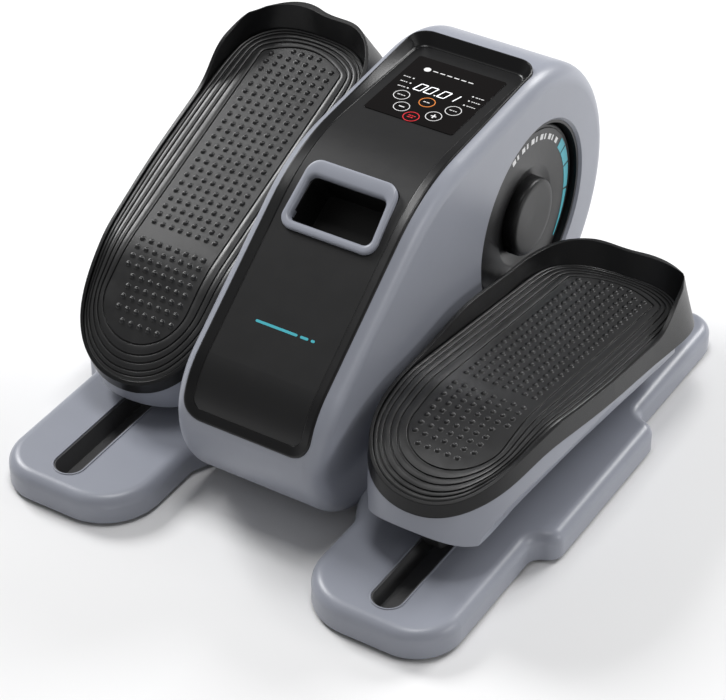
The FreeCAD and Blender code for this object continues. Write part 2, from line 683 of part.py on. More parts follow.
def below_pad(depth):
    """Everything below the pad's surface, lowered by depth."""
    centre = droop_joint()[1]
    toe = 260.0
    arc_end = polar(centre, BEND_R2 - depth, 90 + BEND_A1 + BEND_A2)
    wire = close_wire([
        (toe, -depth),
        arc_edge(BEND_C1, BEND_R1 - depth, 90, 90 + BEND_A1),
        arc_edge(centre, BEND_R2 - depth, 90 + BEND_A1, 90 + BEND_A1 + BEND_A2),
        (arc_end[0] - 30, arc_end[1] - 30), (arc_end[0] - 30, -220.0), (toe, -220.0)])
    return slab(wire, -90, 90)


def closed_curve(points):
    curve = Part.BSplineCurve()
    curve.interpolate(points, PeriodicFlag=True)
    return curve


def outline_wire(side, shifts, height):
    """The pedal's outline at one height, each point moved inwards by its own shift."""
    points = [V(side * x, s, 0) for x, s in PEDAL_OUTLINE]
    curve = closed_curve(points)
    moved_in = []
    for point, shift in zip(points, shifts):
        tangent = curve.tangent(curve.parameter(point))[0]
        moved_in.append(point + V(tangent.y, -tangent.x, 0) * (side * shift) + V(0, 0, height))
    curve = closed_curve(moved_in)
    cuts = [curve.FirstParameter + (curve.LastParameter - curve.FirstParameter) * k / 4 for k in range(5)]
    return Part.Wire([curve.toShape(cuts[k], cuts[k + 1]) for k in range(4)])


def leaning_block(side, inset, low, high):
    """Solid over the pedal's outline: low and high are (height, shifts); upright below low."""
    wires = [outline_wire(side, [inset + shift for shift in shifts], height) for height, shifts in (low, high)]
    foot = outline_wire(side, [inset + shift for shift in low[1]], -90.0)
    return Part.makeLoft(wires, True, True).fuse(Part.Face(foot).extrude(V(0, 0, low[0] + 90.0)))


def skin_block(side):
    """Envelope of the tray: its toe is wide below and narrows to the rim."""
    return leaning_block(side, 0, (SKIN_LOW, SHIFT_LOW), (SKIN_HIGH, SHIFT_HIGH))


def bowl_block(side, inset):
    """Room inside the tray's wall, wider at the rim than at the pad round the toe."""
    below = [-shift / 2 for shift in SHIFT_BOWL]
    above = [shift * 2 for shift in SHIFT_BOWL]
    return leaning_block(side, inset, (-BOWL_HIGH / 2, below), (BOWL_HIGH * 2, above))


def plain_block(side, inset):
    """Upright prism over the pedal's outline, drawn inwards by inset."""
    return Part.Face(outline_wire(side, [inset] * len(PEDAL_OUTLINE), -200.0)).extrude(V(0, 0, 300))


def closed_at(edge, height):
    """Wire of a curve, two uprights from its ends and a level line at a height."""
    start = edge.valueAt(edge.FirstParameter)
    end = edge.valueAt(edge.LastParameter)
    corner_a = V(end.x, end.y, height)
    corner_b = V(start.x, start.y, height)
    return Part.Wire([edge, Part.makeLine(end, corner_a), Part.makeLine(corner_a, corner_b),
                      Part.makeLine(corner_b, start)])


def below_seam(lift):
    """Everything below the seam between tray and shell, lowered by lift."""
    curve = Part.BSplineCurve()
    curve.interpolate([V(0, s, pad_height(s) - depth - lift) for s, depth in SEAM])
    edge = curve.toShape()
    return slab(closed_at(edge, -220.0), -95, 95)


def wall_side(heights, x):
    """Closed outline below the top of a side wall, at one X."""
    curve = Part.BSplineCurve()
    curve.interpolate([V(x, s, pad_height(s) + h) for s, h in zip(WALL_S, heights)])
    top = curve.toShape()
    return closed_at(top, -220.0)


def over_underside(lift):
    """Everything above the lower shell's underside, raised by lift."""
    curve = Part.BSplineCurve()
    curve.interpolate([V(0, s, h + lift) for s, h in SHELL_UNDER])
    edge = curve.toShape()
    return slab(closed_at(edge, 60.0), -90, 90)


def taper_room(inset):
    """Trough that draws the lower shell's sides in towards its underside."""
    half = [(71, 20), (71, -20), (66, -34), (56, -52), (48, -70), (44, -90)]
    left = [(-(x - inset), h) for x, h in half]
    right = [(x - inset, h) for x, h in reversed(half)]
    points = [V(x, -170, h) for x, h in left + right]
    return Part.Face(Part.makePolygon(points + points[:1])).extrude(V(0, 440, 0))


def make_pedal(side):
    """One pedal in its own frame: y = s, z = h, and the outer side at side * x."""
    pieces = {}
    rim = Part.makeLoft([wall_side(WALL_INNER, -90 * side), wall_side(WALL_OUTER, 90 * side)], True, True)
    tray = skin_block(side).common(rim).cut(below_seam(0))
    tray = tray.cut(bowl_block(side, TRAY_WALL).cut(below_pad(PAD_T)))
    tray = tray.cut(plain_block(side, TRAY_WALL).common(below_pad(PAD_T + TRAY_WALL)))
    pieces["pedal_tray"] = tray
    pieces["pedal_pad"] = bowl_block(side, TRAY_WALL + 0.2).common(below_pad(0)).cut(below_pad(PAD_T))
    pin = (PIN_S, PIN_H)
    shell = plain_block(side, 1.0).common(below_seam(0)).common(over_underside(0)).common(taper_room(0))
    hollow = plain_block(side, 1.0 + SHELL_WALL).common(over_underside(SHELL_WALL))
    shell = shell.cut(hollow.common(taper_room(SHELL_WALL)))
    bush_x = span(side, BUSH_IN, BUSH_OUT)
    inner = [rod(*bush_x, BUSH_R + 4, pin)]
    for rib_x in ((-24, -21), (21, 24)):
        rib = box(*rib_x, ROLLER_S - 20, ROLLER_S + 20, -80, FORK_TOP - 3)
        inner.append(rib.common(over_underside(0)))
    shell = fuse_all([shell] + inner).cut(rod(-90, 90, BUSH_R, pin)).cut(tray)
    shell = shell.cut(box(-14, 14, ROLLER_S - 24, ROLLER_S + 24, -100, FORK_TOP - 3))
    pieces["pedal_shell"] = shell
    pieces["pin_bush"] = tube(*bush_x, BUSH_R, PIN_R + RUN_FIT, pin)
    roller_at = (ROLLER_S, ROLLER_H)
    web = box(-30, 30, ROLLER_S - 18, ROLLER_S + 18, FORK_TOP - 3, FORK_TOP)
    cheeks = [box(x0, x0 + 2.4, ROLLER_S - 8, ROLLER_S + 8, ROLLER_H - 8, FORK_TOP - 3)
              for x0 in (-FORK_HALF, FORK_HALF - 2.4)]
    pieces["roller_fork"] = fuse_all([web] + cheeks).cut(rod(-20, 20, AXLE_R, roller_at))
    pieces["roller_axle"] = rod(-FORK_HALF, FORK_HALF, AXLE_R, roller_at)
    roller = tube(-ROLLER_HALF, ROLLER_HALF, ROLLER_R, AXLE_R + RUN_FIT, roller_at)
    edges = [e for e in roller.Edges if abs(e.BoundBox.YLength - 2 * ROLLER_R) < 0.1 and e.BoundBox.XLength < 0.1]
    pieces["roller"] = roller.makeFillet(2.0, edges)
    return pieces


def pedal_tilt(side):
    """Tilt that puts the roller's axle at its rest height, degrees."""
    run = PIN_S - ROLLER_S
    rise = PIN_H - ROLLER_H
    climb = math.asin((pin_centre(side)[1] - ROLLER_Z) / math.hypot(run, rise))
    return math.degrees(climb - math.atan2(rise, run))


def make_pedals():
    for side, name in ((1, "right_"), (-1, "left_")):
        pin_y, pin_z = pin_centre(side)
        print("tilt", name, round(pedal_tilt(side), 4), "pin", round(pin_y, 4), round(pin_z, 4))
        for key, shape in make_pedal(side).items():
            placed = turned(moved(shape, y=-PIN_S, z=-PIN_H), pedal_tilt(side))
            save(name + key, moved(placed, x=side * PEDAL_X, y=pin_y, z=pin_z))


os.makedirs("parts", exist_ok=True)
make_hood()
make_fascia()
make_base()
make_wells()
make_crank()
make_bearings()
make_drive()
make_electronics()
make_rear()
make_pedals()
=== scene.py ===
"""Visual model of a motorised under-desk pedal exerciser, built around its CAD frame."""
import bpy
import json
import math
import random
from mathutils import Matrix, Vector


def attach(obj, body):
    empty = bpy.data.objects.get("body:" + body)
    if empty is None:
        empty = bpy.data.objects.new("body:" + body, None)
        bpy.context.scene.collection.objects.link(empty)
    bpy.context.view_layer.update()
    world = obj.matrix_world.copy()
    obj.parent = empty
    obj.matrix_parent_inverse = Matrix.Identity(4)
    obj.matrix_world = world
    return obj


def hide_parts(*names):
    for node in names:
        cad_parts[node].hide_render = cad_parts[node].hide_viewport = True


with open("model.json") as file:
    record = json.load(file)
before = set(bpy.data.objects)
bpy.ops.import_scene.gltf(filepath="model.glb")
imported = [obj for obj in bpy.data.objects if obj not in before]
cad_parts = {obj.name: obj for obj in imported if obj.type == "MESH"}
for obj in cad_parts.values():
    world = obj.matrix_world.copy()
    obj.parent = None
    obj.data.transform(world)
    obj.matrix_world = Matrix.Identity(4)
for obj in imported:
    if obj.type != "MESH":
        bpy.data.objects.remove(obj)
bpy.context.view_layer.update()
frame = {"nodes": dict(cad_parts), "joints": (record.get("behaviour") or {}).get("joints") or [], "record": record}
nodes = frame["nodes"]
joints = {joint["name"]: joint for joint in frame["joints"]}
random.seed(7)
MM = 0.001                             # metres per millimetre
SIDES = (("right_", 1), ("left_", -1))


def rad(degrees):
    return math.radians(degrees)


# ---------------------------------------------------------------- materials
NOISE_ROUGH = 0.6
NOISE_RANGE = (0.3, 0.7)               # the part of the noise that carries its pattern
MIX_FACTOR, MIX_A, MIX_B, MIX_RESULT = 0, 6, 7, 2


class Shader:
    """A principled material with helpers for procedural detail."""

    def __init__(self, name, color, rough, **sockets):
        self.mat = bpy.data.materials.new(name)
        self.mat.use_nodes = True
        self.tree = self.mat.node_tree
        self.bsdf = self.tree.nodes["Principled BSDF"]
        self.color = (*color, 1.0)
        self.set(Base_Color=self.color, Roughness=rough, **sockets)
        self.normal = None
        coords = self.node("ShaderNodeTexCoord")
        self.place = coords.outputs["Object"]

    def set(self, **sockets):
        for key, value in sockets.items():
            self.bsdf.inputs[key.replace("_", " ")].default_value = value

    def node(self, kind, **values):
        made = self.tree.nodes.new(kind)
        for key, value in values.items():
            if key in made.inputs:
                made.inputs[key].default_value = value
            else:
                setattr(made, key, value)
        return made

    def link(self, a, b):
        self.tree.links.new(a, b)

    def stretched(self, scale):
        """Object coordinates stretched by a scale per axis."""
        mapping = self.node("ShaderNodeMapping")
        mapping.inputs["Scale"].default_value = scale
        self.link(self.place, mapping.inputs["Vector"])
        return mapping.outputs["Vector"]

    def noise(self, scale, detail, stretch):
        made = self.node("ShaderNodeTexNoise", Scale=scale, Detail=detail, Roughness=NOISE_ROUGH)
        self.link(self.stretched(stretch) if stretch else self.place, made.inputs["Vector"])
        return made.outputs["Fac"]

    def ranged(self, value, low, high):
        """The noise's useful range stretched from low to high."""
        made = self.node("ShaderNodeMapRange")
        keys = ("From Min", "From Max", "To Min", "To Max")
        for key, number in zip(keys, (*NOISE_RANGE, low, high)):
            made.inputs[key].default_value = number
        self.link(value, made.inputs["Value"])
        return made.outputs["Result"]

    def mottle(self, scale, amount, stretch=None):
        """Slow variation of the base colour."""
        dark = [c * (1 - amount) for c in self.color[:3]] + [1.0]
        light = [min(1.0, c * (1 + amount)) for c in self.color[:3]] + [1.0]
        mix = self.node("ShaderNodeMix", data_type="RGBA")
        mix.inputs[MIX_A].default_value = dark
        mix.inputs[MIX_B].default_value = light
        self.link(self.ranged(self.noise(scale, 4.0, stretch), 0.0, 1.0), mix.inputs[MIX_FACTOR])
        self.link(mix.outputs[MIX_RESULT], self.bsdf.inputs["Base Color"])
        return self

    def sheen_spots(self, scale, low, high, stretch=None):
        """Roughness that varies over the surface."""
        varied = self.ranged(self.noise(scale, 3.0, stretch), low, high)
        self.link(varied, self.bsdf.inputs["Roughness"])
        return self

    def grain(self, scale, strength, distance=0.0002, detail=2.0, stretch=None):
        """Adds a bump of fine noise."""
        bump = self.node("ShaderNodeBump", Strength=strength, Distance=distance)
        self.link(self.noise(scale, detail, stretch), bump.inputs["Height"])
        if self.normal is not None:
            self.link(self.normal, bump.inputs["Normal"])
        self.normal = bump.outputs["Normal"]
        self.link(self.normal, self.bsdf.inputs["Normal"])
        return self

    def soft_edges(self, radius):
        """Rounds the shading of sharp edges, as moulded and machined edges are."""
        bevel = self.node("ShaderNodeBevel", samples=6, Radius=radius)
        self.normal = bevel.outputs["Normal"]
        self.link(self.normal, self.bsdf.inputs["Normal"])
        return self


def plastic(name, color, rough, grain=0.25, scale=1400, edge=0.0008, **sockets):
    shader = Shader(name, color, rough, **sockets).soft_edges(edge)
    shader.mottle(9.0, 0.03).sheen_spots(55.0, rough - 0.012, rough + 0.015)
    return shader.grain(scale, grain).mat


def metal(name, color, rough, stretch):
    shader = Shader(name, color, rough, Metallic=1.0).soft_edges(0.0005)
    shader.mottle(40.0, 0.08, stretch).sheen_spots(90.0, rough - 0.06, rough + 0.1, stretch)
    return shader.grain(500, 0.2, 0.0001, 3.0, stretch).mat


def paint(name, color, rough):
    shader = Shader(name, color, rough).soft_edges(0.0006)
    shader.mottle(12.0, 0.06).sheen_spots(60.0, rough - 0.05, rough + 0.06)
    return shader.grain(900, 0.3, 0.0001).mat


def rubber(name, color, rough, grain=0.5):
    shader = Shader(name, color, rough).soft_edges(0.0004)
    shader.mottle(14.0, 0.1).sheen_spots(50.0, rough - 0.06, rough + 0.06)
    return shader.grain(1600, grain, 0.00015).mat


def glow(name, color, strength):
    """Printed or lit mark: a coloured ink with a faint light of its own; on printed marks, which are no lamps,
    that light is a painted glow.
    """
    shader = Shader(name, color, 0.4)
    shader.set(Emission_Color=(*color, 1.0), Emission_Strength=strength)
    return shader.mottle(120.0, 0.05).grain(2500, 0.1, 0.00005).mat


def window_gloss(name, color):
    """The display's dark cover: smooth, with the faintest waviness."""
    shader = Shader(name, color, 0.08, IOR=1.3).soft_edges(0.0003)
    return shader.mottle(6.0, 0.2).sheen_spots(14.0, 0.05, 0.1).grain(300, 0.02, 0.00005).mat


MAT = {
    "body": plastic("grey_body_plastic", (0.30, 0.315, 0.365), 0.34, 0.22),
    "well": plastic("well_plastic", (0.012, 0.012, 0.013), 0.45),
    "satin": plastic("satin_black_plastic", (0.011, 0.011, 0.0115), 0.38, 0.15, 1800,
                     Specular_IOR_Level=0.4),
    "frame": plastic("frame_black_plastic", (0.007, 0.007, 0.0075), 0.3, 0.08, 1800,
                     Specular_IOR_Level=0.32),
    "tray": plastic("tray_black_plastic", (0.008, 0.008, 0.0085), 0.36, 0.3, 1500, 0.0012,
                    Specular_IOR_Level=0.3),
    "trough": plastic("track_black_plastic", (0.11, 0.11, 0.112), 0.5, 0.4),
    "cup": plastic("pocket_black_plastic", (0.006, 0.006, 0.006), 0.4, 0.3),
    "dial": plastic("dial_plastic", (0.011, 0.011, 0.0115), 0.36, 0.2, Specular_IOR_Level=0.38),
    "cap": plastic("cap_plastic", (0.009, 0.009, 0.0095), 0.4, 0.3, Specular_IOR_Level=0.3),
    "pulley": plastic("pulley_plastic", (0.02, 0.02, 0.021), 0.5),
    "pad": rubber("pad_rubber_moulded", (0.016, 0.016, 0.0165), 0.34, 0.3),
    "foot": rubber("foot_rubber_matt", (0.02, 0.02, 0.02), 0.6),
    "belt": rubber("belt_rubber_ribbed", (0.015, 0.015, 0.015), 0.55),
    "steel": metal("turned_steel", (0.55, 0.55, 0.56), 0.3, (60.0, 1.0, 1.0)),
    "chassis": paint("powder_coat_black", (0.02, 0.02, 0.021), 0.45),
    "motor": paint("motor_enamel", (0.03, 0.03, 0.033), 0.35),
    "board": plastic("board_green", (0.01, 0.09, 0.045), 0.4, 0.3, 700),
    # white print on the disc ticks and the display, with a faint painted glow though it is no lamp
    "white": glow("print_white_painted_glow", (0.72, 0.72, 0.72), 0.12),
    "lit": glow("segment_white", (0.9, 0.92, 0.95), 0.7),
    # turquoise print on the discs and the front panel, with a faint painted glow though it is no lamp
    "turquoise": glow("print_turquoise_painted_glow", (0.06, 0.42, 0.50), 0.12),
    "orange": glow("ring_orange", (0.62, 0.20, 0.04), 0.5),
    "red": glow("ring_red", (0.55, 0.02, 0.03), 0.5),
    "glass": window_gloss("display_gloss", (0.004, 0.003, 0.003)),
}

SLOT_MATERIAL = {
    "grey_body": "body", "fascia_black": "satin", "window_black": "glass", "board_green": "board",
    "black_plastic": "tray", "pad_rubber": "pad", "foot_rubber": "foot", "steel": "steel",
    "chassis_steel": "chassis", "motor_paint": "motor", "pulley_plastic": "pulley",
    "belt_rubber": "belt", "disc_grey": "dial", "well_grey": "well"}
NODE_MATERIAL = {"left_track": "trough", "right_track": "trough", "handle_pocket": "cup",
                 "left_hub_cap": "cap", "right_hub_cap": "cap"}


def dress_nodes():
    """Gives every CAD node its material."""
    slots = {part["node"]: part["material_slot"] for part in frame["record"]["subparts"]}
    for name, node in nodes.items():
        material = MAT[NODE_MATERIAL.get(name, SLOT_MATERIAL[slots[name]])]
        node.data.materials.clear()
        node.data.materials.append(material)


# ---------------------------------------------------------------- mesh helpers
def add_object(name, data):
    made = bpy.data.objects.new(name, data)
    bpy.context.scene.collection.objects.link(made)
    return made


def piece(name, verts, faces, body, material, smooth=True):
    """A mesh piece, vertices in millimetres in the CAD frame, that rides on a body."""
    data = bpy.data.meshes.new(name)
    data.from_pydata([Vector(v) * MM for v in verts], [], faces)
    data.validate()
    if smooth:
        data.shade_smooth()
    obj = add_object(name, data)
    data.materials.append(MAT[material])
    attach(obj, body)
    return obj


def strip_faces(count, rows, first=0):
    """Quads between successive closed loops of count points, from vertex first on."""
    faces = []
    for row in range(rows - 1):
        low = first + row * count
        high = low + count
        for k in range(count):
            n = (k + 1) % count
            faces.append((low + k, low + n, high + n, high + k))
    return faces


def flipped(faces):
    return [tuple(face[::-1]) for face in faces]


def around(radius, turn):
    """Point on a circle about the origin at a turn in radians."""
    return radius * math.cos(turn), radius * math.sin(turn)


def sharpen(obj, degrees):
    """Keeps creases over an angle crisp."""
    bpy.context.view_layer.objects.active = obj
    obj.select_set(True)
    bpy.ops.object.shade_smooth_by_angle(angle=rad(degrees))
    obj.select_set(False)


# ---------------------------------------------------------------- pedals
# A pedal's own frame, in millimetres: x outwards, s towards the toe, h up from the pad's flat part.
PIN_S, PIN_H = 204.0, -27.4            # crank pin
ROLLER_FROM_PIN = (-282.0, -64.0)      # (s, h)
# Towards the heel the pad leaves the flat at BEND_S, turns down, runs straight and turns again.
BEND_S, BEND_R1, BEND_A1, BEND_FLAT, BEND_R2 = -14.0, 110.0, 17.0, 30.0, 190.0
PAD_DEEP = 2.4
OUTLINE = [
    (4, 230), (36, 226), (58, 210), (68, 186), (71, 140), (71, 70), (69, 20),
    (66, -20), (62.5, -50), (58, -76), (50, -99), (36, -117), (18, -127), (-2, -130),
    (-24, -127), (-44, -117), (-60, -98), (-69, -73), (-72, -40), (-72, 20), (-71, 80),
    (-70, 140), (-68, 186), (-57, 211), (-34, 226)]


def along(a):
    """(s, h, slope in radians) of the pad's surface at the developed length a."""
    if a >= BEND_S:
        return a, 0.0, 0.0
    first = BEND_R1 * rad(BEND_A1)
    turn = min((BEND_S - a) / BEND_R1, rad(BEND_A1))
    s = BEND_S - BEND_R1 * math.sin(turn)
    h = BEND_R1 * (math.cos(turn) - 1)
    left = BEND_S - a - first
    if left <= 0:
        return s, h, turn
    flat = min(left, BEND_FLAT)
    s -= flat * math.cos(turn)
    h -= flat * math.sin(turn)
    left -= flat
    if left > 0:
        end = turn + left / BEND_R2
        s -= BEND_R2 * (math.sin(end) - math.sin(turn))
        h -= BEND_R2 * (math.cos(turn) - math.cos(end))
        turn = end
    return s, h, turn


def developed(s):
    """Inverse of along, by halving: the developed length at a projected s."""
    low, high = -200.0, 260.0          # past both ends of the pad
    for _ in range(40):
        middle = (low + high) / 2
        if along(middle)[0] < s:
            low = middle
        else:
            high = middle
    return (low + high) / 2


class PedalFrame:
    """Turns a pedal's own coordinates into the CAD frame, for one side."""

    def __init__(self, name, side):
        self.side = side
        pin = Vector(joints[name + "pedal_tilt"]["pos_m"]) / MM
        roller = Vector(joints[name + "roller_spin"]["pos_m"]) / MM
        arm = roller - pin
        own = math.atan2(ROLLER_FROM_PIN[1], ROLLER_FROM_PIN[0])
        tilt = math.atan2(arm.z, arm.y) - own
        self.pin = pin
        self.cos, self.sin = math.cos(tilt), math.sin(tilt)

    def place(self, x, s, h):
        y, z = s - PIN_S, h - PIN_H
        return (self.pin.x + self.side * x, self.pin.y + y * self.cos - z * self.sin,
                self.pin.z + y * self.sin + z * self.cos)

    def on_pad(self, x, a, lift):
        """Point over the pad's surface, x outwards and a along the surface."""
        s, h, turn = along(a)
        return self.place(x, s - lift * math.sin(turn), h + lift * math.cos(turn))


def spline(a, b, c, d, t):
    """Catmull-Rom value between b and c."""
    square = (2 * a - 5 * b + 4 * c - d) * t * t
    cube = (3 * b - a - 3 * c + d) * t ** 3
    return 0.5 * (2 * b + (c - a) * t + square + cube)


def smooth_loop(points, per_span=10):
    """Closed smooth curve through points."""
    count = len(points)
    out = []
    for i in range(count):
        four = [points[(i + k - 1) % count] for k in range(4)]
        for step in range(per_span):
            out.append(tuple(spline(*values, step / per_span) for values in zip(*four)))
    return out


def arc_points(cx, cy, radius, a0, a1, count):
    """Points on a circle from angle a0 to a1 in degrees, both ends included."""
    points = []
    for k in range(count + 1):
        dx, dy = around(radius, rad(a0 + (a1 - a0) * k / count))
        points.append((cx + dx, cy + dy))
    return points


def resample(points, spacing):
    """Evenly spaced points along a closed polyline."""
    count = len(points)
    lengths = [math.dist(points[i], points[(i + 1) % count]) for i in range(count)]
    total = sum(lengths)
    wanted = int(round(total / spacing))
    out = []
    i, done = 0, 0.0
    for k in range(wanted):
        target = total * k / wanted
        while done + lengths[i] < target:
            done += lengths[i]
            i += 1
        t = (target - done) / lengths[i]
        a, b = points[i], points[(i + 1) % count]
        out.append((a[0] + (b[0] - a[0]) * t, a[1] + (b[1] - a[1]) * t))
    return out


def ray_to_loop(start, ahead, loop):
    """Distance from start, in the direction ahead, to a closed polyline."""
    best = math.inf
    count = len(loop)
    for i in range(count):
        a, b = loop[i], loop[(i + 1) % count]
        ex, ey = b[0] - a[0], b[1] - a[1]
        det = ahead[0] * -ey + ahead[1] * ex
        if abs(det) < 1e-9:            # parallel
            continue
        wx, wy = a[0] - start[0], a[1] - start[1]
        t = (wx * -ey + wy * ex) / det
        u = (ahead[0] * wy - ahead[1] * wx) / det
        if 0 <= u <= 1 and 0 < t < best:
            best = t
    return best


# The studded field in the pad's middle, and the grooves that run around it.
FIELD_HALF = 40.0                      # inner edge of the grooves
FIELD_LOW, FIELD_HIGH = -65.0, 197.0
SPINE_LOW, SPINE_HIGH = FIELD_LOW + 5, FIELD_HIGH - 30     # the middle line of the field
FIELD_CORNER = 5.0
CROWN_RISE, CROWN_HALF = 12.0, 36.0    # the field's curved toe edge
FIELD_STEP = 2.6
GROOVES = (0.0, 0.29, 0.5, 0.715, 0.86)    # places from the field (0) to the pad's rim (1)
GROOVE_HALF, GROOVE_DEEP = 0.8, 1.3
RIM_GAP = 3.3                          # from the tray's outline to the pad's edge


def field_loop():
    """Outline of the studded field in developed coordinates, counter-clockwise."""
    corner_x, corner_a = FIELD_HALF - FIELD_CORNER, FIELD_HIGH - FIELD_CORNER
    points = arc_points(0, FIELD_LOW, FIELD_HALF, 180, 360, 40)
    points += arc_points(corner_x, corner_a, FIELD_CORNER, 0, 70, 6)
    points += [(x, FIELD_HIGH + CROWN_RISE * (1 - (x / CROWN_HALF) ** 2)) for x in range(32, -33, -4)]
    points += arc_points(-corner_x, corner_a, FIELD_CORNER, 110, 180, 6)
    return resample(points, FIELD_STEP)


def outward_normals(loop):
    """Unit normals of a counter-clockwise loop, each from the points two steps away."""
    normals = []
    for i in range(len(loop)):
        a, b = loop[i - 2], loop[(i + 2) % len(loop)]
        length = math.dist(a, b)
        normals.append(((b[1] - a[1]) / length, (a[0] - b[0]) / length))
    return normals


def pad_sections():
    """Loops of the pad from rim to middle: lists of (x, a, lift)."""
    inner = field_loop()
    rim = [(x, developed(s)) for x, s in smooth_loop(OUTLINE)]
    normals = outward_normals(inner)
    gaps = [ray_to_loop(p, n, rim) - RIM_GAP for p, n in zip(inner, normals)]

    def ring(fraction, extra, lift):
        """The field's outline moved out by a fraction of the way to the rim, plus some more."""
        row = []
        for p, n, gap in zip(inner, normals, gaps):
            out = gap * fraction + extra
            row.append((p[0] + n[0] * out, p[1] + n[1] * out, lift))
        return row

    sections = [ring(1, 0, -PAD_DEEP), ring(1, 0, -0.5), ring(1, -0.5, 0.0), ring(1, -1.2, 0.15)]
    for low, high in zip(GROOVES[::-1], (1.0,) + GROOVES[:0:-1]):
        sections.append(ring((low + high) / 2, 0, 0.35))
        sections.append(ring(low, GROOVE_HALF + 0.5, 0.2))
        sections.append(ring(low, GROOVE_HALF, 0.0))
        sections.append(ring(low, GROOVE_HALF * 0.5, -GROOVE_DEEP))
        sections.append(ring(low, -GROOVE_HALF * 0.5, -GROOVE_DEEP))
        sections.append(ring(low, -GROOVE_HALF, 0.0))
    for keep in (0.95, 0.8, 0.6, 0.4, 0.2, 0.0):
        sections.append(toward_spine(inner, keep))
    return sections


def toward_spine(loop, keep):
    """The field's outline shrunk towards the line up the middle of the pad."""
    row = []
    for x, a in loop:
        middle = min(max(a, SPINE_LOW), SPINE_HIGH)
        row.append((x * keep, middle + (a - middle) * keep, 0.0))
    return row


STUD_R, STUD_TALL, STUD_PITCH = 2.3, 1.9, 8.8
STUD_COLUMNS = [STUD_PITCH * (k - 3.5) for k in range(8)]
FLAT_ROWS = 23                         # full rows on the flat part, from a = 0 on
BEND_ROWS = (-18.6, -27.0, -35.6, -43.8)
HEEL_ROWS, HEEL_LAST = (-52.6, -61.6, -70.6, -80.0), -90.4
DOME_STEPS = 12
DOME = ((1.22, -0.1), (1.05, 0.12), (0.94, 0.55), (0.72, 1.05), (0.4, 1.38))
DOME_TOP = 1.5                         # height of the dome's top on the scale of DOME's heights


def stud_places():
    """(x, a) of each stud: the field narrows towards its toe end and its heel end."""
    rows = [(STUD_PITCH * row, STUD_COLUMNS) for row in range(FLAT_ROWS)]
    rows.append((STUD_PITCH * FLAT_ROWS, STUD_COLUMNS[2:6]))
    rows += [(a, STUD_COLUMNS) for a in BEND_ROWS]
    rows += [(a, STUD_COLUMNS[:7]) for a in HEEL_ROWS]
    rows.append((HEEL_LAST, STUD_COLUMNS[1:6]))
    return [(x, a) for a, columns in rows for x in columns]


def add_dome(verts, faces, pedal, x, a):
    """One stud: a low dome with a small fillet at its foot."""
    start = len(verts)
    for reach, height in DOME:
        for k in range(DOME_STEPS):
            dx, da = around(STUD_R * reach, 2 * math.pi * k / DOME_STEPS)
            verts.append(pedal.on_pad(x + dx, a + da, height * STUD_TALL / DOME_TOP))
    top = len(verts)
    verts.append(pedal.on_pad(x, a, STUD_TALL))
    made = strip_faces(DOME_STEPS, len(DOME), start)
    last = top - DOME_STEPS
    made += [(last + k, last + (k + 1) % DOME_STEPS, top) for k in range(DOME_STEPS)]
    faces += made if pedal.side > 0 else flipped(made)


def make_pads():
    """Both grooved and studded foot pads, each closed underneath."""
    sections = pad_sections()
    count = len(sections[0])
    for name, side in SIDES:
        pedal = PedalFrame(name, side)
        verts = [pedal.on_pad(*point) for section in sections for point in section]
        faces = strip_faces(count, len(sections))
        base = len(verts)
        under = [[(x * keep, a, -PAD_DEEP) for x, a, _ in sections[0]] for keep in (0.5, 0.0)]
        for section in under:
            verts += [pedal.on_pad(*point) for point in section]
        for k in range(count):
            n = (k + 1) % count
            faces.append((n, k, base + k, base + n))
            faces.append((base + n, base + k, base + count + k, base + count + n))
        if side < 0:
            faces = flipped(faces)
        for x, a in stud_places():
            add_dome(verts, faces, pedal, x, a)
        pad = piece(name + "pad_moulding", verts, faces, name + "pedal", "pad")
        sharpen(pad, 50)
        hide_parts(name + "pedal_pad")


# ---------------------------------------------------------------- fascia
SLOPE, TOP_SLOPE, PANEL_SLOPE = 37.2, 5.0, 1.15    # degrees, of the hood's front, its top, the window
CRANK = [metres / MM for metres in joints["crank_spin"]["pos_m"][1:]]    # (y, z) of the axis
NOSE = (-135.5, 91.0)                  # (y, z) of the middle of the hood's nose arc
NOSE_R, BROW_R, BACK_R = 70.0, 160.0, 134.0
PANEL_DROP, PANEL_BROW_R = 2.0, 150.0
PANEL_POINT = (40.2, 259.5)            # (y, z) of the window's near edge
HOOD_HALF, HOOD_FILLET = 70.0, 16.0
BEZEL_HALF, BEZEL_CORNER, RING_W = 59.5, 18.0, 9.0
BEZEL_LOW, BEZEL_FAR = 97.5, 155.5     # z of the ring's near end, y of its far end
SWEEP = 40.0                           # degrees, of the line that a profile is walked along


def normal(slope):
    """Unit normal (y, z) of a face that rises by a slope in degrees."""
    return (-math.sin(rad(slope)), math.cos(rad(slope)))


def heading(slope):
    return (math.cos(rad(slope)), math.sin(rad(slope)))


def dot(a, b):
    return a[0] * b[0] + a[1] * b[1]


